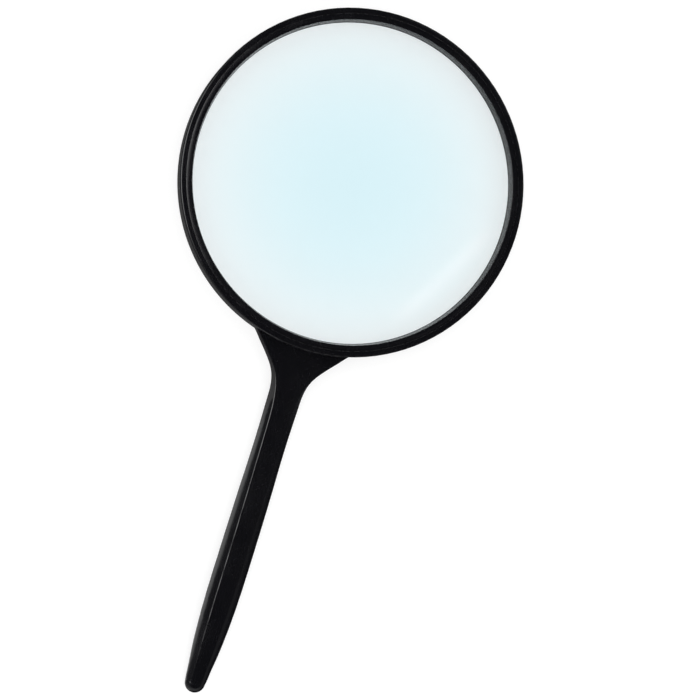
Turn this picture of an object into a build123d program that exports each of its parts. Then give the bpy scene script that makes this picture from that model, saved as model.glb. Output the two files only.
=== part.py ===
from build123d import *
from math import sqrt
import os

os.makedirs("parts", exist_ok=True)

# A hand magnifier: a round glass in a slim moulded rim, with a long faceted handle.
# Millimetres. It lies on the rear of its rim: +Z is along the lens's axis and the handle points along -Y.
# "Reach" is the distance from the lens's axis along the handle.

# Driving dimensions
LENS_RADIUS = 50.0
RIM_RADIUS = 53.0
RIM_DEPTH = 9.5
HANDLE_REACH = 162.2
CLEAR_RADIUS = 48.9  # what the bezel ring leaves open in front of the glass
LENS_Y = (HANDLE_REACH - RIM_RADIUS) / 2  # puts the middle of the whole length at Y = 0

# The glass stands half way through the rim
LENS_MID = RIM_DEPTH / 2
LENS_EDGE = 1.8
LENS_SURFACE_RADIUS = 380.0
LENS_BEVEL = 0.25
GLASS_CLEARANCE = 0.02  # between straight-sided seats and the curve of the glass

# The gasket: a thin wall round the glass's edge and a floor under it
GASKET_WALL = 0.25
GASKET_FLOOR = 0.6
GASKET_LAP = 0.6
LENS_BORE = LENS_RADIUS + GASKET_WALL
BEZEL_SHELF = LENS_MID + LENS_EDGE / 2
GLASS_SHELF = LENS_MID - LENS_EDGE / 2
GASKET_SHELF = GLASS_SHELF - GASKET_FLOOR

# The rim and the ring that snaps into its front
RIM_ROUND = 0.6
LIP_RADIUS = 49.4  # what the rim leaves open behind the glass
LIP_CREST = 50.4  # where the rear face meets the sloping wall of the rear lip
LIP_EDGE_HEIGHT = 2.2
BEZEL_RADIUS = 51.15
BEZEL_GAP = 0.06
BEZEL_TOP = RIM_DEPTH - 0.05
BEZEL_CREST = 49.4
BEZEL_EDGE_HEIGHT = 6.15
SNAP_HEIGHT = 7.2
SNAP_DEPTH = 0.2
SNAP_HALF_WIDTH = 0.3
EDGE_BREAK = 0.06
CREST_ROUND = 0.2

# The neck flares into the rim along an arc, then along that arc's tangent
NECK_ARC = 14.0
NECK_ARC_START = 58.3
NECK_ARC_END = 67.5
NECK_EDGE = 0.45  # how far the neck's sides lean in towards its faces
NECK_ROOT = 52.0  # radius inside the rim's wall where the neck ends

# The handle's lines, as (reach, half width or height)
FORM_START = 48.5
TIP_CENTRE = 158.9
GRIP_HALF_WIDTH = 5.2
GRIP_SIDE = [
    (NECK_ARC_END, GRIP_HALF_WIDTH),
    (84.0, 4.97),
    (100.0, 5.2),
    (118.0, 5.3),
    (134.0, 5.2),
    (146.0, 4.62),
    (153.0, 3.92),
    (TIP_CENTRE, HANDLE_REACH - TIP_CENTRE),
]
GRIP_RIDGE = [(64.0, 4.8), (68.0, 3.75), (73.0, 3.12), (84.0, 2.88), (112.0, 2.64)]
GRIP_RIDGE += [(134.0, 2.5), (146.0, 2.15), (TIP_CENTRE, 1.6)]
FRONT_LINE = [(FORM_START, 6.2), (72.0, 6.2), (84.0, 6.4), (98.0, 7.0), (112.0, 7.35)]
FRONT_LINE += [(126.0, 7.35), (137.0, 6.9), (148.0, 5.8), (TIP_CENTRE, 4.2)]
REAR_LINE = [(FORM_START, 0.4), (140.0, 0.4), (150.0, 0.5), (TIP_CENTRE, 0.8)]
FORM_STEPS = 30

# The handle's cross section
RIDGE_ROUND = 0.35
SIDE_ROUND = 1.1
FACET_CROWN = 0.12
FLANK_CROWN = 0.09  # as a share of a flank's width

# The hollow in the handle
WALL = 1.5
SIDE_WALL = 1.6
FACET_INSET = 0.9
CAVITY_START = 64.0
CAVITY_END = 150.0
CAVITY_STEPS = 24
CAVITY_RIDGE_ROUND = 0.3
CAVITY_SIDE_ROUND = 0.5
RIB_REACHES = (70.5, 84.5, 92.0, 99.5, 116.5, 124.0, 131.5, 145.5)
RIB_THICKNESS = 0.9

# The cover that closes the handle behind, and its screws
COVER_START = 60.0
SEAM_GAP = 0.12
SEAM_MIDDLE, SEAM_END = 112.0, 164.0
SEAM_HEIGHTS = (2.6, 3.15, 1.6)  # at the cover's start, the middle and beyond the tip
SCREW_REACHES = (77.0, 108.0, 139.0)
BOSS_RADIUS = 2.2
SCREW_RADIUS = 1.0
SCREW_CORE = 0.76
SCREW_CLEARANCE = 0.15
SCREW_THREADS = 5
SCREW_PITCH = 0.55
SCREW_POINT = 0.5
HEAD_RADIUS = 1.75
HEAD_REAR, HEAD_SEAT = 0.6, 1.6
HEAD_ROUND = 0.3
HEAD_CLEARANCE = 0.1
PILOT_TOP = 5.3
DRIVE_LENGTH, DRIVE_WIDTH, DRIVE_DEPTH = 2.0, 0.5, 0.55
BEYOND = 40.0  # larger than anything it cuts


def glass_rise(radius):
    """How much higher the glass's surface stands at this radius than at its edge."""
    sphere = LENS_SURFACE_RADIUS**2
    return sqrt(sphere - radius**2) - sqrt(sphere - LENS_RADIUS**2)


def neck_width(reach):
    """Half width of the neck."""
    rise = NECK_ARC_END - max(reach, NECK_ARC_START)
    depth = sqrt(NECK_ARC**2 - rise**2)
    straight = max(NECK_ARC_START - reach, 0) * rise / depth
    return GRIP_HALF_WIDTH + NECK_ARC - depth + straight


def smooth(knots, reach):
    """The height at this reach of a smooth curve through the knots."""
    last = len(knots) - 1
    slopes = []
    for i in range(last + 1):
        before, after = knots[max(i - 1, 0)], knots[min(i + 1, last)]
        slopes.append((after[1] - before[1]) / (after[0] - before[0]))
    i = max(k for k in range(last) if knots[k][0] <= reach)
    span = knots[i + 1][0] - knots[i][0]
    t = (reach - knots[i][0]) / span
    height = knots[i][1] * (1 + 2 * t) * (1 - t) ** 2 + knots[i + 1][1] * t**2 * (3 - 2 * t)
    return height + span * t * (1 - t) * (slopes[i] * (1 - t) - slopes[i + 1] * t)


NECK_RIDGE = [(r, neck_width(r) - NECK_EDGE) for r in (FORM_START, 52.0, 55.0, 58.0, 61.0)]


def handle_lines(reach):
    """Half width, half width of the facet, front height and rear height at this reach."""
    side = neck_width(reach) if reach < NECK_ARC_END else smooth(GRIP_SIDE, reach)
    return side, smooth(NECK_RIDGE + GRIP_RIDGE, reach), smooth(FRONT_LINE, reach), smooth(REAR_LINE, reach)


def hollow_lines(reach):
    """The same four lines, a wall's thickness inside."""
    side, facet, front, rear = handle_lines(reach)
    return side - SIDE_WALL, facet - FACET_INSET, front - WALL, rear + WALL


def even_reaches(start, end, steps):
    """Evenly spaced stations, both ends included: a loft through uneven ones ripples."""
    return [start + (end - start) * i / steps for i in range(steps + 1)]


def cross_section(reach, lines, ridge_round, side_round):
    """Six sides with rounded corners: a facet front and rear, and two crowned flanks at each side."""
    side, facet, front, rear = lines
    middle = (front + rear) / 2
    crown = FLANK_CROWN * (side - facet)
    flank = (side + facet) / 2 + crown
    high, low = (front + middle) / 2 + crown, (rear + middle) / 2 - crown
    corners = [(facet, front), (side, middle), (facet, rear), (-facet, rear), (-side, middle), (-facet, front)]
    bulges = [(flank, high), (flank, low), (0, rear - FACET_CROWN), (-flank, low), (-flank, high)]
    bulges.append((0, front + FACET_CROWN))
    with BuildSketch(Plane.XZ.offset(reach - LENS_Y)) as section:
        with BuildLine():
            for start, bulge, end in zip(corners, bulges, corners[1:] + corners[:1]):
                ThreePointArc(start, bulge, end)
        make_face()
        by_height = section.vertices().group_by(Axis.Y)
        fillet(by_height[0] + by_height[-1], ridge_round)
        by_side = section.vertices().group_by(Axis.X)
        fillet(by_side[0] + by_side[-1], side_round)
    return section.sketch


def behind_seam(gap):
    """The space that belongs to the rear cover, drawn in side view and as wide as the handle."""
    heights = [height - gap for height in SEAM_HEIGHTS]
    start, middle, end = (LENS_Y - r for r in (COVER_START + gap, SEAM_MIDDLE, SEAM_END))
    with BuildPart() as space:
        with BuildSketch(Plane.YZ):
            with BuildLine():
                ThreePointArc((start, heights[0]), (middle, heights[1]), (end, heights[2]))
                Polyline((end, heights[2]), (end, -BEYOND), (start, -BEYOND), (start, heights[0]))
            make_face()
        extrude(amount=BEYOND, both=True)
    return space.part


LENS_AXIS = Axis((0, LENS_Y, 0), (0, 0, 1))
RIM_PLANE = Plane.XZ.offset(-LENS_Y)  # radius to the right, height upwards
SCREW_PLACES = [(0, LENS_Y - reach, 0) for reach in SCREW_REACHES]
UPWARDS = (Align.CENTER, Align.CENTER, Align.MIN)

# The outer form of the neck and the handle, from inside the rim to the tip
with BuildPart() as handle_form:
    stations = even_reaches(FORM_START, TIP_CENTRE, FORM_STEPS)
    outlines = [cross_section(r, handle_lines(r), RIDGE_ROUND, SIDE_ROUND) for r in stations]
    loft(outlines)
    # The tip is one half of the last section, turned half round
    revolve(
        split(outlines[-1], Plane.YZ, mode=Mode.PRIVATE),
        axis=Axis((0, LENS_Y - TIP_CENTRE, 0), (0, 0, -1)),
        revolution_arc=180,
    )

# The hollow in the handle, less the screw bosses and the cross ribs that both halves share
with BuildPart() as handle_hollow:
    stations = even_reaches(CAVITY_START, CAVITY_END, CAVITY_STEPS)
    loft([cross_section(r, hollow_lines(r), CAVITY_RIDGE_ROUND, CAVITY_SIDE_ROUND) for r in stations])
    with Locations(*SCREW_PLACES):
        Cylinder(BOSS_RADIUS, BEYOND, mode=Mode.SUBTRACT)
    with Locations(*[(0, LENS_Y - reach, 0) for reach in RIB_REACHES]):
        Box(BEYOND, RIB_THICKNESS, BEYOND, mode=Mode.SUBTRACT)

# Frame: the rim, the neck and the front half of the handle, in one moulding
with BuildPart() as frame:
    add(handle_form.part)
    add(behind_seam(0), mode=Mode.SUBTRACT)
    add(handle_hollow.part, mode=Mode.SUBTRACT)
    with Locations(*SCREW_PLACES):
        Cylinder(SCREW_RADIUS, PILOT_TOP, align=UPWARDS, mode=Mode.SUBTRACT)
    with Locations((0, LENS_Y, 0)):
        Cylinder(NECK_ROOT, BEYOND, mode=Mode.SUBTRACT)
    bore = BEZEL_RADIUS + BEZEL_GAP
    with BuildSketch(RIM_PLANE) as rim_outline:
        with BuildLine():
            Polyline(
                (LIP_CREST, 0),
                (LIP_RADIUS, LIP_EDGE_HEIGHT),
                (LIP_RADIUS, GASKET_SHELF),
                (LENS_BORE, GASKET_SHELF),
                (LENS_BORE, BEZEL_SHELF),
                (bore, BEZEL_SHELF),
                (bore, SNAP_HEIGHT - SNAP_HALF_WIDTH),
                (bore + SNAP_DEPTH, SNAP_HEIGHT),
                (bore, SNAP_HEIGHT + SNAP_HALF_WIDTH),
                (bore, RIM_DEPTH - EDGE_BREAK),
                (bore + EDGE_BREAK, RIM_DEPTH),
                (RIM_RADIUS, RIM_DEPTH),
                (RIM_RADIUS, 0),
                close=True,
            )
        make_face()
        fillet(rim_outline.vertices().group_by(Axis.X)[-1], RIM_ROUND)
    revolve(axis=LENS_AXIS)
frame.part.label = "frame"
export_step(frame.part, "parts/frame.step")

# Handle back cover: the rear half of the handle
with BuildPart() as handle_back_cover:
    add(handle_form.part)
    add(behind_seam(SEAM_GAP), mode=Mode.INTERSECT)
    add(handle_hollow.part, mode=Mode.SUBTRACT)
    with Locations(*SCREW_PLACES):
        Cylinder(SCREW_RADIUS + SCREW_CLEARANCE, BEYOND, mode=Mode.SUBTRACT)
        Cylinder(HEAD_RADIUS + HEAD_CLEARANCE, HEAD_SEAT, align=UPWARDS, mode=Mode.SUBTRACT)
handle_back_cover.part.label = "handle_back_cover"
export_step(handle_back_cover.part, "parts/handle_back_cover.step")

# Bezel ring: snaps into the rim in front of the glass, and slopes down to it
with BuildPart() as bezel_ring:
    with BuildSketch(RIM_PLANE) as bezel_outline:
        with BuildLine():
            Polyline(
                (CLEAR_RADIUS, BEZEL_SHELF + glass_rise(CLEAR_RADIUS) + GLASS_CLEARANCE),
                (LENS_RADIUS, BEZEL_SHELF),
                (BEZEL_RADIUS, BEZEL_SHELF),
                (BEZEL_RADIUS, SNAP_HEIGHT - SNAP_HALF_WIDTH),
                (BEZEL_RADIUS + SNAP_DEPTH, SNAP_HEIGHT),
                (BEZEL_RADIUS, SNAP_HEIGHT + SNAP_HALF_WIDTH),
                (BEZEL_RADIUS, BEZEL_TOP - EDGE_BREAK),
                (BEZEL_RADIUS - EDGE_BREAK, BEZEL_TOP),
                (BEZEL_CREST, BEZEL_TOP),
                (CLEAR_RADIUS, BEZEL_EDGE_HEIGHT),
                close=True,
            )
        make_face()
        crest = bezel_outline.vertices().group_by(Axis.Y)[-1].sort_by(Axis.X)[0]
        fillet(crest, CREST_ROUND)
    revolve(axis=LENS_AXIS)
bezel_ring.part.label = "bezel_ring"
export_step(bezel_ring.part, "parts/bezel_ring.step")

# Lens: biconvex glass with a bevelled edge
with BuildPart() as lens:
    bevel_radius = LENS_RADIUS - LENS_BEVEL
    with BuildSketch(RIM_PLANE):
        with BuildLine():
            front_face = [(r, BEZEL_SHELF + glass_rise(r)) for r in (0, LENS_RADIUS / 2, bevel_radius)]
            rear_face = [(r, GLASS_SHELF - glass_rise(r)) for r in (bevel_radius, LENS_RADIUS / 2, 0)]
            ThreePointArc(*front_face)
            Polyline(
                front_face[-1],
                (LENS_RADIUS, BEZEL_SHELF - LENS_BEVEL),
                (LENS_RADIUS, GLASS_SHELF + LENS_BEVEL),
                rear_face[0],
            )
            ThreePointArc(*rear_face)
            Line(rear_face[-1], front_face[0])
        make_face()
    revolve(axis=LENS_AXIS)
lens.part.label = "lens"
export_step(lens.part, "parts/lens.step")

# Lens gasket: L-shaped in section, it holds the edge of the glass from outside and from behind
with BuildPart() as lens_gasket:
    lap_radius = LENS_RADIUS - GASKET_LAP
    with BuildSketch(RIM_PLANE):
        with BuildLine():
            Polyline(
                (lap_radius, GASKET_SHELF),
                (LENS_BORE, GASKET_SHELF),
                (LENS_BORE, BEZEL_SHELF),
                (LENS_RADIUS, BEZEL_SHELF),
                (LENS_RADIUS, GLASS_SHELF),
                (lap_radius, GLASS_SHELF - glass_rise(lap_radius) - GLASS_CLEARANCE),
                close=True,
            )
        make_face()
    revolve(axis=LENS_AXIS)
lens_gasket.part.label = "lens_gasket"
export_step(lens_gasket.part, "parts/lens_gasket.step")

# Handle screws: three alike, with a rounded head, a cross drive and a thread drawn as plain ridges
with BuildPart() as screw:
    thread = [(SCREW_CORE, HEAD_SEAT)]
    for turn in range(1, SCREW_THREADS + 1):
        thread.append((SCREW_RADIUS, HEAD_SEAT + turn * SCREW_PITCH))
        thread.append((SCREW_CORE, HEAD_SEAT + (turn + 0.5) * SCREW_PITCH))
    point = (0, thread[-1][1] + SCREW_POINT)
    with BuildSketch(Plane.XZ) as screw_outline:
        with BuildLine():
            Polyline((0, HEAD_REAR), (HEAD_RADIUS, HEAD_REAR), (HEAD_RADIUS, HEAD_SEAT), *thread, point, close=True)
        make_face()
        fillet(screw_outline.vertices().sort_by_distance((HEAD_RADIUS, HEAD_REAR))[0], HEAD_ROUND)
    revolve(axis=Axis.Z)
    with Locations((0, 0, HEAD_REAR)):
        Box(DRIVE_LENGTH, DRIVE_WIDTH, 2 * DRIVE_DEPTH, mode=Mode.SUBTRACT)
        Box(DRIVE_WIDTH, DRIVE_LENGTH, 2 * DRIVE_DEPTH, mode=Mode.SUBTRACT)

with BuildPart() as handle_screws:
    with Locations(*SCREW_PLACES):
        add(screw.part)
handle_screws.part.label = "handle_screws"
export_step(handle_screws.part, "parts/handle_screws.step")
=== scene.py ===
# %% [markdown]
# # A hand magnifier on a white table
# The shapes that carry the design come from the CAD model: a black moulded frame with a rim, a neck and
# the front half of a handle, a rear cover, a ring that snaps in front of the glass, the glass itself, its
# gasket and three screws. This script loads them, models again in finer mesh what a lens or a light shows
# up, gives each piece its finish, and sets a floor, soft light and a camera round them. Everything is in
# metres, and the axes are the CAD model's: +Z is along the lens's axis, the handle is along -Y.

# %% Load the frame
import math

import bmesh
import bpy
from mathutils import Matrix, Vector


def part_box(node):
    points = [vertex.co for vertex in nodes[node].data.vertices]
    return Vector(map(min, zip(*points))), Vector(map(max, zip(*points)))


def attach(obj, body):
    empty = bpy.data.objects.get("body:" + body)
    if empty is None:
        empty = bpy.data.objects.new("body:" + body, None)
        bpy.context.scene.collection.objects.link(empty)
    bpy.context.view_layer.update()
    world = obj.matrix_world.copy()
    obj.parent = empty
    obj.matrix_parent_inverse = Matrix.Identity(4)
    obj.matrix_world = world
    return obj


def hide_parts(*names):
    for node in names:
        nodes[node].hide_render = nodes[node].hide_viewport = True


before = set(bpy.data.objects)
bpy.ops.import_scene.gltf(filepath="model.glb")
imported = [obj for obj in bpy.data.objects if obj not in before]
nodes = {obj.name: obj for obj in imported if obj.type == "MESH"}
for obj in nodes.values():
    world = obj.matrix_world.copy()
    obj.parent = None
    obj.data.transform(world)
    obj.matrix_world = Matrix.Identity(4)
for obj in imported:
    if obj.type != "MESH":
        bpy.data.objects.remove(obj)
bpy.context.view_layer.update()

MM = 0.001
print("pieces:", sorted(nodes))

# %% [markdown]
# ## Where things are
# Everything in the rim is round about one line, the lens's axis, and the middle of the lens's box is on
# it. The round pieces are placed from that line and from the heights of their own boxes.

# %% Measures
lens_low, lens_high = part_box("lens")
lens_middle = (lens_low + lens_high) / 2
lens_radius = (lens_high.x - lens_low.x) / 2
lens_thickness = lens_high.z - lens_low.z
print("lens axis, mm:", [round(v / MM, 2) for v in lens_middle.xy], "radius:", round(lens_radius / MM, 2))

# %% [markdown]
# ## The camera
# The magnifier is seen nearly from the front, from a little to its own left, so that the right inner
# slope of the rim shows and the left one hardly does. The camera is also rolled, so that the handle
# points down and to the left. It could be turned by angles, but it is easier to build its own three axes:
# one points from the magnifier to the camera, and one is where the handle should run in the picture.

# %% Camera
TOWARDS_CAMERA = Vector((-0.18, -0.04, 1.0)).normalized()
HANDLE_LEAN = math.radians(17.3)
CAMERA_DISTANCE = 0.5945
FOCAL_LENGTH = 100.0
SENSOR_WIDTH = 36.0
NEAR_CLIP = 10 * MM
AIM_RIGHT = 14.75 * MM
AIM_DOWN = 48.6 * MM

aim = lens_middle + Vector((AIM_RIGHT, -AIM_DOWN, 0))
down_handle = Vector((0, -1, 0))
seen_handle = (down_handle - down_handle.dot(TOWARDS_CAMERA) * TOWARDS_CAMERA).normalized()
beside_handle = -TOWARDS_CAMERA.cross(seen_handle)
up = -math.cos(HANDLE_LEAN) * seen_handle + math.sin(HANDLE_LEAN) * beside_handle
right = up.cross(TOWARDS_CAMERA)

camera_data = bpy.data.cameras.new("camera")
camera_data.lens = FOCAL_LENGTH
camera_data.sensor_width = SENSOR_WIDTH
camera_data.clip_start = NEAR_CLIP
camera = bpy.data.objects.new("camera", camera_data)
bpy.context.scene.collection.objects.link(camera)
turn_camera = Matrix((right, up, TOWARDS_CAMERA)).transposed().to_4x4()
camera.matrix_world = Matrix.Translation(aim + CAMERA_DISTANCE * TOWARDS_CAMERA) @ turn_camera
bpy.context.scene.camera = camera
print("camera at, mm:", [round(v / MM, 1) for v in camera.location])

# %% [markdown]
# ## Working on a mesh by script
# Blender's modelling tools work on whatever is selected, and the loaded pieces start out selected. So
# every new piece begins with nothing selected, and each tool is told what to work on by a test of place:
# a ring of edges at one radius and height, or the faces that look one way. The last helper does what a
# maker does when a piece is done: its normals point outwards, its place goes into its mesh, and its round
# surfaces are shaded smooth.

# %% Helpers for modelling
SMOOTH_ANGLE = math.radians(30)
TOUCHING = 0.01 * MM
FACING_UP = 0.9


def clear_selection():
    if bpy.context.mode != "OBJECT":
        bpy.ops.object.mode_set(mode="OBJECT")
    bpy.ops.object.select_all(action="DESELECT")


def from_axis(place):
    return math.hypot(place.x - lens_middle.x, place.y - lens_middle.y)


def pick(kind, test):
    """In edit mode, select the vertices, edges or faces of the active piece that pass the test."""
    bpy.ops.mesh.select_mode(type={"verts": "VERT", "edges": "EDGE", "faces": "FACE"}[kind])
    bpy.ops.mesh.select_all(action="DESELECT")
    piece = bpy.context.active_object
    place = piece.matrix_world
    mesh = bmesh.from_edit_mesh(piece.data)
    for element in getattr(mesh, kind):
        element.select_set(bool(test(element, place)))
    mesh.select_flush_mode()
    bmesh.update_edit_mesh(piece.data)


def pick_ring(radius, height):
    """Select the ring of edges round the lens's axis at this radius and height."""
    def at_place(corner):
        return abs(from_axis(corner) - radius) < TOUCHING and abs(corner.z - height) < TOUCHING

    pick("edges", lambda edge, place: all(at_place(place @ vertex.co) for vertex in edge.verts))


def finish_piece(name, replaced):
    """Close the work on the active piece, hang it on the root body, and hide the CAD node it stands for."""
    piece = bpy.context.active_object
    piece.name = piece.data.name = name
    bpy.ops.mesh.select_all(action="SELECT")
    bpy.ops.mesh.remove_doubles(threshold=TOUCHING / 10)
    bpy.ops.mesh.normals_make_consistent(inside=False)
    bpy.ops.object.mode_set(mode="OBJECT")
    bpy.ops.object.transform_apply(location=True, rotation=True, scale=True)
    bpy.ops.object.shade_smooth_by_angle(angle=SMOOTH_ANGLE)
    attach(piece, "root")
    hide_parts(replaced)
    print(name, "has", len(piece.data.polygons), "faces")
    return piece


# %% [markdown]
# ## The glass
# The glass is a biconvex lens: both faces are parts of a large sphere. The CAD mesh is right but coarse,
# and what is seen through a lens shows up every flat facet. A big sphere cut down to a cap would waste
# most of its faces, so the face's own line is cut out of a large upright circle, and will be spun round
# the lens's axis. The sphere's radius isn't a free choice: it follows from how much thicker the glass is
# in the middle than at its edge. The cuts are two bisections: one at the height of the edge, and one
# along the axis.

# %% Line of the front face
EDGE_THICKNESS = 1.8 * MM
CIRCLE_STEPS = 1440

rise = (lens_thickness - EDGE_THICKNESS) / 2
sphere_radius = (lens_radius**2 + rise**2) / (2 * rise)
edge_height = lens_middle.z + EDGE_THICKNESS / 2
print("each face is part of a sphere of radius", round(sphere_radius / MM, 1), "mm")

clear_selection()
bpy.ops.mesh.primitive_circle_add(
    vertices=CIRCLE_STEPS,
    radius=sphere_radius,
    fill_type="NOTHING",
    location=(lens_middle.x, lens_middle.y, lens_high.z - sphere_radius),
    rotation=(math.radians(90), 0, 0),
)
bpy.ops.object.mode_set(mode="EDIT")
for cut, keep in ((Vector((0, 0, edge_height)), Vector((0, 0, 1))), (lens_middle, Vector((1, 0, 0)))):
    bpy.ops.mesh.select_all(action="SELECT")
    bpy.ops.mesh.bisect(plane_co=cut, plane_no=keep, clear_inner=True, threshold=TOUCHING / 100)

# %% [markdown]
# The rear face's line is the front one mirrored through the middle of the glass. The two outer ends are
# joined by the short straight edge of the glass, and its corners are bevelled: bare glass edges chip, so
# a real lens has them ground off. Only then is the whole section spun, so that the glass comes out as one
# closed skin.

# %% Whole section, spun
GROUND_BEVEL = 0.25 * MM
SPIN_STEPS = 192


def at_outer_end(vertex, place):
    return from_axis(place @ vertex.co) > lens_radius - TOUCHING


bpy.ops.mesh.select_all(action="SELECT")
bpy.ops.mesh.duplicate()
bpy.ops.transform.resize(value=(1, 1, -1), center_override=lens_middle)
pick("verts", at_outer_end)
bpy.ops.mesh.edge_face_add()
bpy.ops.mesh.bevel(offset=GROUND_BEVEL, segments=1, affect="VERTICES")
bpy.ops.mesh.select_all(action="SELECT")
bpy.ops.mesh.spin(steps=SPIN_STEPS, angle=2 * math.pi, center=lens_middle, axis=(0, 0, 1))
glass_piece = finish_piece("lens_glass", "lens")

# %% [markdown]
# ## The rings
# The bezel ring and the gasket are turned shapes: one section goes all the way round. The section could
# be drawn and spun, as the glass was, but a ring is quicker to pull out of itself. A circle is set at one
# corner of the section, its edges are extruded to the next corner and scaled to its radius, and so on
# round. The last ring is bridged to the first, and then the corners that catch the light are bevelled.

# %% Helper for rings
RING_STEPS = 256


def pull_ring(corners):
    """Start a ring in edit mode from the corners of its section, each a radius and a height."""
    radius, height = corners[0]
    clear_selection()
    start = (lens_middle.x, lens_middle.y, height)
    bpy.ops.mesh.primitive_circle_add(vertices=RING_STEPS, radius=radius, fill_type="NOTHING", location=start)
    bpy.ops.object.mode_set(mode="EDIT")
    bpy.ops.mesh.select_mode(type="EDGE")
    bpy.ops.mesh.select_all(action="SELECT")
    for next_radius, next_height in corners[1:]:
        bpy.ops.mesh.extrude_region_move(TRANSFORM_OT_translate={"value": (0, 0, next_height - height)})
        growth = next_radius / radius
        bpy.ops.transform.resize(
            value=(growth, growth, 1), center_override=(lens_middle.x, lens_middle.y, next_height)
        )
        radius, height = next_radius, next_height
    bpy.ops.mesh.select_all(action="DESELECT")
    bpy.ops.mesh.select_non_manifold(
        use_wire=False, use_multi_face=False, use_non_contiguous=False, use_verts=False
    )
    bpy.ops.mesh.bridge_edge_loops()


# %% [markdown]
# ### Bezel ring
# This ring holds the glass down from the front. Its inner face slopes in to the glass, with a small ledge
# at the foot, and a bead round its outside snaps into a groove in the rim. The bead is what makes the CAD
# ring's box wider than its body, so the body's radius is the box's less the bead. The crest and the ledge
# get round bevels, because a moulded edge is never sharp and each one draws a thin bright line.

# %% Bezel ring
BEAD = 0.2 * MM
BEAD_HALF_WIDTH = 0.3 * MM
BEAD_HEIGHT = 7.2 * MM
CLEAR_RADIUS = 48.9 * MM
LEDGE_HEIGHT = 6.15 * MM
LEDGE_WIDTH = 0.1 * MM
CREST_RADIUS = 49.4 * MM
CREST_BEVEL = 0.12 * MM
FINE_BEVEL = 0.04 * MM

bezel_low, bezel_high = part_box("bezel_ring")
body_radius = (bezel_high.x - bezel_low.x) / 2 - BEAD
glass_drop = sphere_radius - math.sqrt(sphere_radius**2 - CLEAR_RADIUS**2)
foot_height = lens_high.z - glass_drop + 2 * TOUCHING
pull_ring([
    (CLEAR_RADIUS, foot_height),
    (CLEAR_RADIUS, LEDGE_HEIGHT),
    (CLEAR_RADIUS + LEDGE_WIDTH, LEDGE_HEIGHT),
    (CREST_RADIUS, bezel_high.z),
    (body_radius, bezel_high.z),
    (body_radius, BEAD_HEIGHT + BEAD_HALF_WIDTH),
    (body_radius + BEAD, BEAD_HEIGHT),
    (body_radius, BEAD_HEIGHT - BEAD_HALF_WIDTH),
    (body_radius, bezel_low.z),
    (lens_radius, bezel_low.z),
])
pick_ring(CREST_RADIUS, bezel_high.z)
bpy.ops.mesh.bevel(offset=CREST_BEVEL, segments=4, affect="EDGES")
for radius, height in ((body_radius, bezel_high.z), (CLEAR_RADIUS, LEDGE_HEIGHT)):
    pick_ring(radius, height)
    bpy.ops.mesh.bevel(offset=FINE_BEVEL, segments=2, affect="EDGES")
bezel_piece = finish_piece("bezel_snap_ring", "bezel_ring")

# %% [markdown]
# ### Gasket
# An L-shaped strip of rubber goes round the edge of the glass and under it, so that the glass doesn't
# rattle or rest on bare plastic. It is only seen as a dark line through the edge of the glass, and it
# gets a softly rounded lap for that reason.

# %% Gasket
GASKET_WALL = 0.25 * MM
GASKET_LAP = 0.6 * MM
LAP_BEVEL = 0.15 * MM

gasket_low, gasket_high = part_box("lens_gasket")
lap_radius = lens_radius - GASKET_LAP
rear_edge = 2 * lens_middle.z - edge_height
lap_drop = math.sqrt(sphere_radius**2 - lap_radius**2) - math.sqrt(sphere_radius**2 - lens_radius**2)
pull_ring([
    (lap_radius, gasket_low.z),
    (lens_radius + GASKET_WALL, gasket_low.z),
    (lens_radius + GASKET_WALL, gasket_high.z),
    (lens_radius, gasket_high.z),
    (lens_radius, rear_edge),
    (lap_radius, rear_edge - lap_drop - 2 * TOUCHING),
])
pick_ring(lap_radius, gasket_low.z)
bpy.ops.mesh.bevel(offset=LAP_BEVEL, segments=3, affect="EDGES")
gasket_piece = finish_piece("gasket_strip", "lens_gasket")

# %% [markdown]
# ## The screws
# Three screws come up through the rear cover into bosses in the frame. A cylinder is the head: its rear
# rim is bevelled round, its front face is inset to the core of the thread, and the shank is extruded from
# there: half a pitch straight, then out and in, so that each pair of steps is one ridge, and last to a
# point. The cross for the driver is cut with two tapered bars and a Boolean modifier, because a cut is
# what it is on the real screw.

# %% One screw
HEAD_RADIUS = 1.75 * MM
HEAD_HEIGHT = 1.0 * MM
HEAD_BEVEL = 0.3 * MM
CORE_RADIUS = 0.76 * MM
THREAD_RADIUS = 1.0 * MM
SCREW_SIDES = 48
THREADS = 5
PITCH = 0.55 * MM
POINT = 0.5 * MM
CROSS_LENGTH, CROSS_WIDTH, CROSS_DEPTH = 2.0 * MM, 0.5 * MM, 0.55 * MM
CROSS_TAPER = 0.7

screws_low, screws_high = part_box("handle_screws")
first = Vector((0, screws_high.y - HEAD_RADIUS, screws_low.z))
last = Vector((0, screws_low.y + HEAD_RADIUS, screws_low.z))


def scale_about(place, growth):
    bpy.ops.transform.resize(value=(growth, growth, 1), center_override=place)


def extrude_up(step):
    bpy.ops.mesh.extrude_region_move(TRANSFORM_OT_translate={"value": (0, 0, step)})


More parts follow.
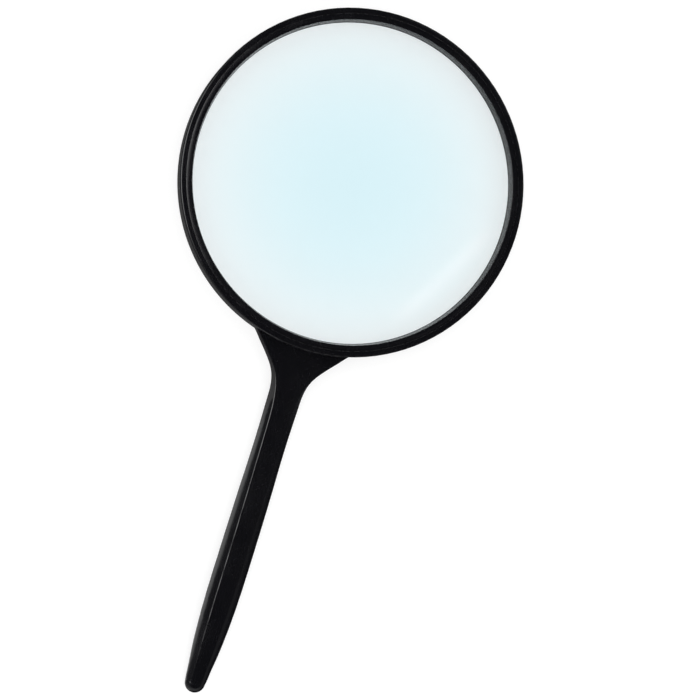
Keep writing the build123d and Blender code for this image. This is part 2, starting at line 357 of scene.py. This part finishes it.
clear_selection()
bpy.ops.mesh.primitive_cylinder_add(
    vertices=SCREW_SIDES,
    radius=HEAD_RADIUS,
    depth=HEAD_HEIGHT,
    location=first + Vector((0, 0, HEAD_HEIGHT / 2)),
)
bpy.ops.object.mode_set(mode="EDIT")
pick("edges", lambda edge, place: all((place @ v.co).z < first.z + TOUCHING for v in edge.verts))
bpy.ops.mesh.bevel(offset=HEAD_BEVEL, segments=4, affect="EDGES")
pick("faces", lambda face, place: face.normal.z > FACING_UP)
bpy.ops.mesh.inset(thickness=HEAD_RADIUS - CORE_RADIUS)
extrude_up(PITCH / 2)
for ridge in range(THREADS):
    extrude_up(PITCH / 2)
    scale_about(first, THREAD_RADIUS / CORE_RADIUS)
    extrude_up(PITCH / 2)
    scale_about(first, CORE_RADIUS / THREAD_RADIUS)
extrude_up(POINT)
bpy.ops.mesh.merge(type="CENTER")
screw_piece = finish_piece("screw_at_neck", "handle_screws")

# %% The cross in its head
for size in ((CROSS_LENGTH, CROSS_WIDTH), (CROSS_WIDTH, CROSS_LENGTH)):
    clear_selection()
    bpy.ops.mesh.primitive_cube_add(size=1, location=first)
    bar = bpy.context.active_object
    bpy.ops.object.mode_set(mode="EDIT")
    bpy.ops.transform.resize(value=(*size, 2 * CROSS_DEPTH), center_override=first)
    pick("faces", lambda face, place: face.normal.z > FACING_UP)
    scale_about(first, CROSS_TAPER)
    clear_selection()
    bpy.context.view_layer.objects.active = screw_piece
    screw_piece.select_set(True)
    cut = screw_piece.modifiers.new("cross", "BOOLEAN")
    cut.operation = "DIFFERENCE"
    cut.object = bar
    bpy.ops.object.modifier_apply(modifier=cut.name)
    bpy.data.objects.remove(bar)
print("a screw with its cross has", len(screw_piece.data.polygons), "faces")

# %% Two more screws
for name, share in (("screw_at_middle", 0.5), ("screw_at_tip", 1.0)):
    copy = screw_piece.copy()
    copy.data = screw_piece.data.copy()
    copy.name = copy.data.name = name
    bpy.context.scene.collection.objects.link(copy)
    clear_selection()
    copy.location = share * (last - first)
    copy.select_set(True)
    bpy.context.view_layer.objects.active = copy
    bpy.ops.object.transform_apply(location=True, rotation=True, scale=True)
    print(name, "is", round((first - last).length * share / MM, 1), "mm further down the handle")
screws = [bpy.data.objects[name] for name in ("screw_at_neck", "screw_at_middle", "screw_at_tip")]

# %% [markdown]
# ## Finishes
# Every finish reads Object coordinates, which are plain metres on these pieces, so that a pattern keeps
# its real size: a scale of 1000 is one feature to a millimetre. Three short helpers keep the node trees
# readable.

# %% Helpers for materials
def new_material(name):
    material = bpy.data.materials.new(name)
    material.use_nodes = True
    return material, material.node_tree, material.node_tree.nodes["Principled BSDF"]


def node(tree, kind, settings=None, **inputs):
    """Add a node. Each input is a value, or another node's output to link."""
    made = tree.nodes.new("ShaderNode" + kind)
    for key, value in (settings or {}).items():
        setattr(made, key, value)
    for key, value in inputs.items():
        socket = made.inputs[int(key[1:])] if key[0] == "_" else made.inputs[key.replace("_", " ")]
        if isinstance(value, bpy.types.NodeSocket):
            tree.links.new(value, socket)
        else:
            socket.default_value = value
    return made.outputs


def ramp(tree, value, start, end, low, high):
    """A smooth step: low where the value is under start, high where it is over end."""
    return node(
        tree, "MapRange", {"interpolation_type": "SMOOTHSTEP"},
        Value=value, From_Min=start, From_Max=end, To_Min=low, To_Max=high,
    )[0]


def radius_of(tree, place):
    """How far a point is from the lens's axis."""
    flat = node(tree, "VectorMath", {"operation": "MULTIPLY"}, _0=place, _1=(1, 1, 0))[0]
    centre = (lens_middle.x, lens_middle.y, 0)
    return node(tree, "VectorMath", {"operation": "DISTANCE"}, _0=flat, _1=centre)["Value"]


# %% [markdown]
# ### Moulded black plastic
# The frame and its cover are moulded in one black plastic, from a polished mould. Black gloss is nearly
# all reflection, so its life is in the roughness and the bump, not in the colour:
# - a faint orange peel, a few tenths of a millimetre across, from the cooling of the plastic;
# - smudges a centimetre or two across, where fingers have dulled the polish;
# - hairline scratches, which are the thin borders between Voronoi cells, drawn out long in two
#   directions;
# - worn edges. The Bevel node gives a normal that is averaged round a corner, so where it differs from
#   the true normal there is an edge, and there the plastic is rubbed a little paler and duller.

# %% Scratches
WAVE_SCALE, WAVE_SHARE = 60.0, 0.004
GAPS_START, GAPS_END = 0.5, 0.62


def scratches(tree, place, turn, stretch, scale, width):
    """One where a hairline scratch is, 0 elsewhere."""
    turned = node(
        tree, "Mapping", {"vector_type": "TEXTURE"},
        Vector=place, Rotation=(0, 0, turn), Scale=(1, stretch, 1),
    )[0]
    bent = node(tree, "TexNoise", Vector=place, Scale=WAVE_SCALE, Detail=1.0)["Color"]
    wavy = node(tree, "Mix", {"data_type": "VECTOR"}, _0=WAVE_SHARE, _4=turned, _5=bent)[1]
    border = node(tree, "TexVoronoi", {"feature": "DISTANCE_TO_EDGE"}, Vector=wavy, Scale=scale)["Distance"]
    broken = node(tree, "TexNoise", Vector=place, Scale=4 * scale, Detail=2.0)[0]
    line = ramp(tree, border, 0.0, width, 1.0, 0.0)
    kept = ramp(tree, broken, GAPS_START, GAPS_END, 0.0, 1.0)
    return node(tree, "Math", {"operation": "MULTIPLY"}, _0=line, _1=kept)[0]


# %% Black plastic
SMUDGE_SCALE, MOTTLE_SCALE, PATCH_SCALE, PEEL_SCALE, TURNED_SCALE = 75.0, 140.0, 900.0, 2600.0, 9000.0
PATCH_LOW, PATCH_HIGH = 0.35, 0.7  # noise under the first is left clean, over the second is full
WEAR_RADIUS = 0.3 * MM
WORN_TURN, FLAT_TURN = 0.90, 0.995  # how far the two normals agree on a worn edge, and on the flat
MOTTLE_GAIN = 1.5
HAIR_DULLING, WEAR_DULLING = 0.1, 0.2
BUMP_HEIGHT = 0.01 * MM
HAIR_BUMP = 0.06
PLASTIC_IOR = 1.46


def black_plastic(name, dark, worn, smooth, dull, peel, turned_lines=0.0):
    material, tree, shader = new_material(name)
    place = node(tree, "TexCoord")["Object"]

    smears = node(tree, "TexNoise", Vector=place, Scale=SMUDGE_SCALE, Detail=2.0)[0]
    smudge = ramp(tree, smears, PATCH_LOW, PATCH_HIGH, 0, 1)
    hairs = node(
        tree, "Math", {"operation": "ADD", "use_clamp": True},
        _0=scratches(tree, place, math.radians(25), 14.0, 260.0, 0.012),
        _1=scratches(tree, place, math.radians(-52), 10.0, 340.0, 0.010),
    )[0]
    soft_normal = node(tree, "Bevel", {"samples": 6}, Radius=WEAR_RADIUS)[0]
    true_normal = node(tree, "NewGeometry")["Normal"]
    turn = node(tree, "VectorMath", {"operation": "DOT_PRODUCT"}, _0=soft_normal, _1=true_normal)["Value"]
    patchy = node(tree, "TexNoise", Vector=place, Scale=PATCH_SCALE, Detail=3.0)[0]
    edge = node(
        tree, "Math", {"operation": "MULTIPLY"},
        _0=ramp(tree, turn, WORN_TURN, FLAT_TURN, 1, 0),
        _1=ramp(tree, patchy, PATCH_LOW, PATCH_HIGH, 0, 1),
    )[0]

    mottle = node(tree, "TexNoise", Vector=place, Scale=MOTTLE_SCALE, Detail=3.0)[0]
    less_dark = [MOTTLE_GAIN * value for value in dark]
    tone = node(tree, "Mix", {"data_type": "RGBA"}, _0=mottle, _6=(*dark, 1), _7=(*less_dark, 1))[2]
    colour = node(tree, "Mix", {"data_type": "RGBA"}, _0=edge, _6=tone, _7=(*worn, 1))[2]
    tree.links.new(colour, shader.inputs["Base Color"])

    rough = ramp(tree, smudge, 0, 1, smooth, dull)
    for mask, more in ((hairs, HAIR_DULLING), (edge, WEAR_DULLING)):
        extra = node(tree, "Math", {"operation": "MULTIPLY"}, _0=mask, _1=more)[0]
        rough = node(tree, "Math", {"operation": "ADD", "use_clamp": True}, _0=rough, _1=extra)[0]
    tree.links.new(rough, shader.inputs["Roughness"])

    skin = node(tree, "TexNoise", Vector=place, Scale=PEEL_SCALE, Detail=2.0)[0]
    bumped = node(tree, "Bump", Strength=peel, Distance=BUMP_HEIGHT, Height=skin)[0]
    bumped = node(
        tree, "Bump", {"invert": True}, Strength=HAIR_BUMP, Distance=BUMP_HEIGHT, Height=hairs, Normal=bumped
    )[0]
    if turned_lines:
        out = radius_of(tree, place)
        lines = node(tree, "TexNoise", {"noise_dimensions": "1D"}, W=out, Scale=TURNED_SCALE, Detail=2.0)[0]
        bumped = node(
            tree, "Bump", Strength=turned_lines, Distance=BUMP_HEIGHT, Height=lines, Normal=bumped
        )[0]
    tree.links.new(bumped, shader.inputs["Normal"])
    shader.inputs["IOR"].default_value = PLASTIC_IOR
    print(name, "has", len(tree.nodes), "nodes")
    return material


frame_black = black_plastic(
    "frame_gloss_black", (0.0028, 0.0028, 0.0040), (0.012, 0.012, 0.014), smooth=0.18, dull=0.25, peel=0.10
)

# %% [markdown]
# ### Bezel plastic
# The bezel ring is the same black, but it is polished in a lathe, so it also has hairlines that run round
# it. A one-dimensional noise that reads the distance from the lens's axis draws them.

# %% Bezel plastic
bezel_black = black_plastic(
    "bezel_satin_black", (0.0030, 0.0030, 0.0043), (0.013, 0.013, 0.015), smooth=0.20, dull=0.28, peel=0.10,
    turned_lines=0.15,
)

# %% [markdown]
# ### Rubber and steel
# Rubber is dull, nearly as dark as the plastic, and bloomed with a fine grey dust. The screws are zinc
# plated: a metal, with fine grain and a few darker patches where the plating has aged.

# %% Rubber
RUBBER_BLACK, RUBBER_GREY = (0.012, 0.012, 0.013, 1), (0.03, 0.03, 0.03, 1)
RUBBER_SMOOTH, RUBBER_DULL = 0.62, 0.85
BLOOM_SCALE, RUBBER_GRAIN_SCALE = 700.0, 6000.0
RUBBER_GRAIN = 0.4

rubber, tree, shader = new_material("gasket_rubber")
place = node(tree, "TexCoord")["Object"]
bloom = node(tree, "TexNoise", Vector=place, Scale=BLOOM_SCALE, Detail=6.0, Roughness=0.7)[0]
colour = node(tree, "Mix", {"data_type": "RGBA"}, _0=bloom, _6=RUBBER_BLACK, _7=RUBBER_GREY)[2]
tree.links.new(colour, shader.inputs["Base Color"])
tree.links.new(ramp(tree, bloom, 0.3, 0.7, RUBBER_SMOOTH, RUBBER_DULL), shader.inputs["Roughness"])
grain = node(tree, "TexNoise", Vector=place, Scale=RUBBER_GRAIN_SCALE, Detail=3.0)[0]
bumped = node(tree, "Bump", Strength=RUBBER_GRAIN, Distance=BUMP_HEIGHT, Height=grain)[0]
tree.links.new(bumped, shader.inputs["Normal"])

# %% Steel
ZINC, AGED_ZINC = (0.56, 0.56, 0.55, 1), (0.34, 0.33, 0.31, 1)
ZINC_SMOOTH, ZINC_DULL = 0.28, 0.5
AGED_SCALE, STEEL_GRAIN_SCALE = 1500.0, 9000.0
STEEL_GRAIN = 0.3

steel, tree, shader = new_material("screw_zinc_steel")
place = node(tree, "TexCoord")["Object"]
patches = node(tree, "TexNoise", Vector=place, Scale=AGED_SCALE, Detail=4.0)[0]
aged = ramp(tree, patches, 0.4, 0.65, 0, 1)
colour = node(tree, "Mix", {"data_type": "RGBA"}, _0=aged, _6=ZINC, _7=AGED_ZINC)[2]
tree.links.new(colour, shader.inputs["Base Color"])
tree.links.new(ramp(tree, aged, 0, 1, ZINC_SMOOTH, ZINC_DULL), shader.inputs["Roughness"])
shader.inputs["Metallic"].default_value = 1.0
grain = node(tree, "TexNoise", Vector=place, Scale=STEEL_GRAIN_SCALE, Detail=2.0)[0]
bumped = node(tree, "Bump", Strength=STEEL_GRAIN, Distance=BUMP_HEIGHT, Height=grain)[0]
tree.links.new(bumped, shader.inputs["Normal"])

# %% [markdown]
# ### Glass
# Clear crown glass still has a colour, blue-green, which grows with depth: thick in the middle of the
# lens, it is gone at the edge. A tinted surface can't do that, so the colour is a Volume Absorption
# inside a clear shell. The polished faces have a refractive index of 1.52 and no roughness, apart from a
# trace of haze where it has been wiped. The edge that the ring hides is ground, so past a certain radius
# the glass turns matt.

# %% Glass
GLASS_IOR = 1.52
GLASS_COLOUR, COLOUR_DENSITY = (0.075, 0.66, 0.79, 1), 36.0
HAZE_SCALE, HAZE = 35.0, 0.012
GROUND_ROUGHNESS = 0.5
POLISHED_TO = lens_radius - 1.4 * GROUND_BEVEL

glass, tree, shader = new_material("lens_clear_glass")
place = node(tree, "TexCoord")["Object"]
wiped = node(tree, "TexNoise", Vector=place, Scale=HAZE_SCALE, Detail=3.0, Distortion=1.5)[0]
haze = ramp(tree, wiped, 0.55, 0.75, 0.0, HAZE)
out = radius_of(tree, place)
ground = ramp(tree, out, POLISHED_TO, POLISHED_TO + TOUCHING, 0.0, GROUND_ROUGHNESS)
rough = node(tree, "Math", {"operation": "ADD"}, _0=haze, _1=ground)[0]
tree.links.new(rough, shader.inputs["Roughness"])
shader.inputs["Base Color"].default_value = (1, 1, 1, 1)
shader.inputs["IOR"].default_value = GLASS_IOR
shader.inputs["Transmission Weight"].default_value = 1.0
absorb = tree.nodes.new("ShaderNodeVolumeAbsorption")
absorb.inputs["Color"].default_value = GLASS_COLOUR
absorb.inputs["Density"].default_value = COLOUR_DENSITY
tree.links.new(absorb.outputs["Volume"], tree.nodes["Material Output"].inputs["Volume"])
print("the glass is polished out to a radius of", round(POLISHED_TO / MM, 2), "mm")

# %% Put the finishes on
finishes = [(nodes["frame"], frame_black), (nodes["handle_back_cover"], frame_black)]
finishes += [(glass_piece, glass), (bezel_piece, bezel_black), (gasket_piece, rubber)]
finishes += [(screw, steel) for screw in screws]
for piece, material in finishes:
    piece.data.materials.clear()
    piece.data.materials.append(material)
    print(piece.name, "is", material.name)

# %% [markdown]
# ## Floor
# The magnifier lies on a light table: a white sheet that glows a little by itself. Lit only from above,
# the sheet would be grey where the rim shades it, and the glass would look dirty. What the black plastic
# mirrors is a painted reflection, set into the floor for mirror-like bounces only: there the sheet's own
# white is painted black, and its glow is painted to stand in for a white card to one side of the handle and
# a black card to the other. Beside the handle the painted reflection is dark close by, a painted shadow,
# brightest a finger's width to the left, dimmer beyond, and nearly black on the right. The painted shadow
# narrows towards the tip, as the handle does. Further off, and round the rim, it is one even faint light.

# %% Floor
FLOOR_SIZE = 6.0
FLOOR_ROUGHNESS = 0.9
GLOW, WHITE = 0.7, 0.39
# Strengths of the painted reflection, seen only in mirror bounces: bright on the left, near black on the
# right, faint further off.
LEFT_PAINTED_REFLECTION, RIGHT_PAINTED_REFLECTION, FAR_PAINTED_REFLECTION = 1.7, 0.01, 0.1
PAINTED_REFLECTION_END, PAINTED_REFLECTION_FADE = 70 * MM, 16 * MM
PAINTED_SHADOW_AT_GRIP, PAINTED_SHADOW_AT_TIP, PAINTED_SHADOW_EDGE = 7.0 * MM, 4.4 * MM, 1.5 * MM
GRIP_Y, TIP_Y = -70 * MM, -105 * MM
PAINTED_REFLECTION_TOP, PAINTED_REFLECTION_TOP_FADE = -6 * MM, -28 * MM

clear_selection()
bpy.ops.mesh.primitive_plane_add(size=FLOOR_SIZE, location=(0, 0, 0))
floor = bpy.context.active_object
floor.name = "floor"
floor_material, tree, shader = new_material("floor")
shader.inputs["Roughness"].default_value = FLOOR_ROUGHNESS
shader.inputs["Specular IOR Level"].default_value = 0.0


def in_a_mirror(tree):
    """One for a ray that has bounced off a shiny surface, 0 for light and for the camera."""
    path = node(tree, "LightPath")
    glossy, reflected = path["Is Glossy Ray"], path["Is Reflection Ray"]
    return node(tree, "Math", {"operation": "MULTIPLY"}, _0=glossy, _1=reflected)[0]


place = node(tree, "SeparateXYZ", _0=node(tree, "TexCoord")["Object"])
# Painted reflection in the floor for mirror bounces: a bright band to the left, a painted shadow close beside
# the handle, and dark on the right.
painted_bright_reflection = ramp(tree, place["X"], -PAINTED_REFLECTION_END, -PAINTED_REFLECTION_FADE, FAR_PAINTED_REFLECTION, LEFT_PAINTED_REFLECTION)
painted_dark_reflection = ramp(tree, place["X"], PAINTED_REFLECTION_FADE, PAINTED_REFLECTION_END, RIGHT_PAINTED_REFLECTION, FAR_PAINTED_REFLECTION)
painted_shadow_width = ramp(tree, place["Y"], TIP_Y, GRIP_Y, PAINTED_SHADOW_AT_TIP, PAINTED_SHADOW_AT_GRIP)
past_painted_shadow = node(tree, "Math", {"operation": "ADD"}, _0=place["X"], _1=painted_shadow_width)[0]
painted_shade_side = ramp(tree, past_painted_shadow, -PAINTED_SHADOW_EDGE, 0, 0, 1)
painted_reflections = node(tree, "Mix", {"data_type": "FLOAT"}, _0=painted_shade_side, _2=painted_bright_reflection, _3=painted_dark_reflection)[0]
past_handle = ramp(tree, place["Y"], PAINTED_REFLECTION_TOP_FADE, PAINTED_REFLECTION_TOP, 0, 1)
painted_mirror_glow = node(tree, "Mix", {"data_type": "FLOAT"}, _0=past_handle, _2=painted_reflections, _3=FAR_PAINTED_REFLECTION)[0]
mirrored = in_a_mirror(tree)
# For mirror bounces the floor's white is painted black, and its glow becomes the painted reflection.
diffuse = node(tree, "Mix", {"data_type": "FLOAT"}, _0=mirrored, _2=WHITE, _3=0.0)[0]
tree.links.new(node(tree, "CombineColor", _0=diffuse, _1=diffuse, _2=diffuse)[0], shader.inputs["Base Color"])
glow = node(tree, "Mix", {"data_type": "FLOAT"}, _0=mirrored, _2=GLOW, _3=painted_mirror_glow)[0]
shader.inputs["Emission Color"].default_value = (1, 1, 1, 1)
tree.links.new(glow, shader.inputs["Emission Strength"])
floor.data.materials.append(floor_material)
print("the floor is", FLOOR_SIZE, "m square, at the height of the rim's rear face")

# %% [markdown]
# ## Light
# The whole room glows a soft even white, as a light tent does, and that lights the table, the glass and
# what is seen through it. The tent's own picture in the black plastic is drawn apart from that: dark
# overhead, dim at the horizon to left and right, brighter beyond the two ends, and with one soft lamp
# high on the left. The flat faces don't face that lamp, so they stay black, and every rounded ridge that
# turns through its direction carries one thin bright line. A second lamp, a short strip high on the
# right, does the same for the glass: its picture in the curved front face is a pale crescent.

# %% World
ROOM_LIGHT = 1.35
HORIZON_LIGHT, OVERHEAD_LIGHT = 0.12, 0.02
END_LIGHT = 0.9
END_FULL, END_TOP = 0.2, 0.65
OVERHEAD_FROM = 0.5
LAMP_DIRECTION = Vector((-0.57, 0.0, 0.82)).normalized()
LAMP_LIGHT = 7.0
LAMP_HALF_WIDTH, LAMP_SOFT_WIDTH = math.radians(12), math.radians(26)
STRIP_DIRECTION = Vector((0.39, 0.0, 0.92)).normalized()
STRIP_ACROSS = Vector((0.88, -0.47, 0.0))
STRIP_LIGHT = 1.3
STRIP_HALF_LENGTH, STRIP_HALF_WIDTH = math.radians(9), math.radians(1.6)
strip_side = (STRIP_ACROSS - STRIP_ACROSS.dot(STRIP_DIRECTION) * STRIP_DIRECTION).normalized()

world = bpy.data.worlds.new("room")
bpy.context.scene.world = world
world.use_nodes = True
world.cycles.sampling_method = "NONE"
tree = world.node_tree
direction = node(tree, "TexCoord")["Generated"]
axes = node(tree, "SeparateXYZ", _0=direction)
sides = ramp(tree, axes["Z"], 0.0, OVERHEAD_FROM, HORIZON_LIGHT, OVERHEAD_LIGHT)
towards_ends = node(tree, "Math", {"operation": "MULTIPLY"}, _0=axes["Y"], _1=axes["Y"])[0]
low_down = ramp(tree, axes["Z"], END_FULL, END_TOP, END_LIGHT, 0.0)
ends = node(tree, "Math", {"operation": "MULTIPLY"}, _0=towards_ends, _1=low_down)[0]
horizon = node(tree, "Math", {"operation": "ADD"}, _0=sides, _1=ends)[0]
facing = {"operation": "DOT_PRODUCT"}
towards_lamp = node(tree, "VectorMath", facing, _0=direction, _1=LAMP_DIRECTION)["Value"]
lamp = ramp(tree, towards_lamp, math.cos(LAMP_SOFT_WIDTH), math.cos(LAMP_HALF_WIDTH), 0.0, LAMP_LIGHT)
along = node(tree, "VectorMath", facing, _0=direction, _1=STRIP_DIRECTION)["Value"]
beside = node(tree, "VectorMath", facing, _0=direction, _1=strip_side)["Value"]
off_centre = node(tree, "Math", {"operation": "ABSOLUTE"}, _0=beside)[0]
strip_end, strip_full = math.cos(STRIP_HALF_LENGTH), math.cos(STRIP_HALF_LENGTH / 2)
strip = node(
    tree, "Math", {"operation": "MULTIPLY"},
    _0=ramp(tree, along, strip_end, strip_full, 0.0, STRIP_LIGHT),
    _1=ramp(tree, off_centre, 0.0, math.sin(STRIP_HALF_WIDTH), 1.0, 0.0),
)[0]
lamps = node(tree, "Math", {"operation": "ADD"}, _0=lamp, _1=strip)[0]
strength = node(tree, "Math", {"operation": "ADD"}, _0=horizon, _1=lamps)[0]
in_mirror = node(tree, "Background", Strength=strength)[0]
in_room = node(tree, "Background", Strength=ROOM_LIGHT)[0]
both = node(tree, "MixShader", _0=in_a_mirror(tree), _1=in_room, _2=in_mirror)[0]
tree.links.new(both, tree.nodes["World Output"].inputs["Surface"])
print("the lamp is", round(math.degrees(LAMP_DIRECTION.angle(Vector((0, 0, 1))))), "degrees from overhead")

# %% [markdown]
# Two settings belong to the look. The plain "Standard" view keeps the white of the table white. Cycles
# also blurs mirror bounces a little to calm noise, which darkens what is seen through the glass, so that
# is off.

# %% View
bpy.context.scene.view_settings.view_transform = "Standard"
bpy.context.scene.cycles.blur_glossy = 0.0
